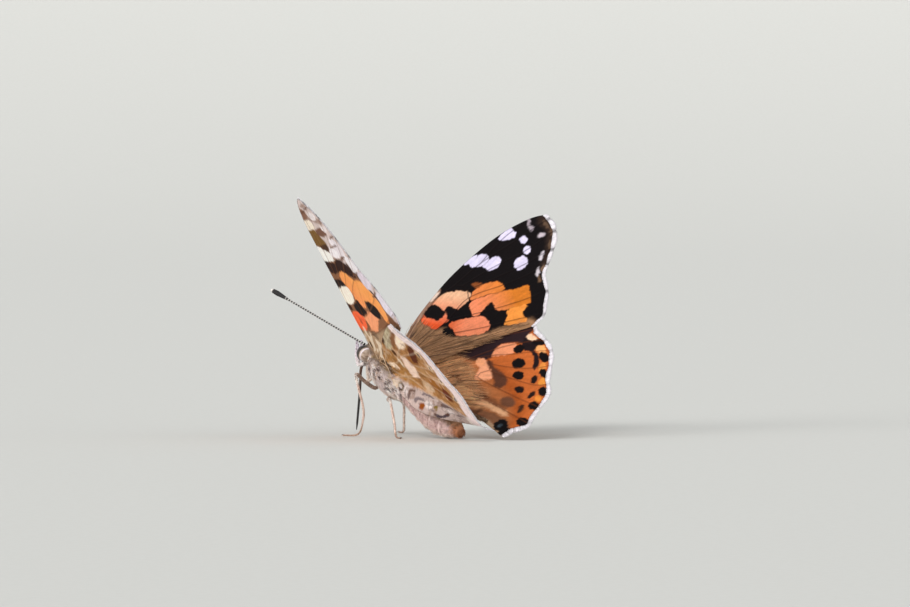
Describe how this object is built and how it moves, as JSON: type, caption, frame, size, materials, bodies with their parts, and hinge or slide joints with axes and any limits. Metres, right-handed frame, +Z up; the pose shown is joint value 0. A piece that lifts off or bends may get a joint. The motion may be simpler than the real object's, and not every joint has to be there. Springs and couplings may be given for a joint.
{
  "type": "painted lady butterfly",
  "caption": "Life-size butterfly model feeding with wings raised in a V, standing on its legs and the underside of its abdomen.",
  "frame": {"origin": "middle of the model's box at its foot, on the floor it stands on", "axes": "+Z up, the head points to -Y, the left wings are towards +X"},
  "size_m": [0.0456, 0.0426, 0.0318],
  "materials": {
    "face_fur": "short cream scales and hairs on face, palps and collar",
    "body_fur": "soft grey-brown hair above, cream below",
    "eye": "glossy compound eye",
    "proboscis": "near-black horny tube",
    "antenna": "black and white ringed shaft, black club with a pale tip",
    "wing_scales": "matt scales: orange, black and white above, marbled tan and cream below",
    "leg": "pinkish cream scales, dark-spotted femora"
  },
  "bodies": {
    "root": {"head": "face_fur", "eye_left": "eye", "eye_right": "eye", "palp_left": "face_fur", "palp_right": "face_fur", "proboscis": "proboscis", "antenna_left": "antenna", "antenna_right": "antenna", "thorax": "body_fur", "abdomen": "body_fur", "forewing_left": "wing_scales", "forewing_right": "wing_scales", "hindwing_left": "wing_scales", "hindwing_right": "wing_scales", "foreleg_left": "leg", "foreleg_right": "leg", "midleg_left": "leg", "midleg_right": "leg", "hindleg_left": "leg", "hindleg_right": "leg"}
  },
  "joints": []
}
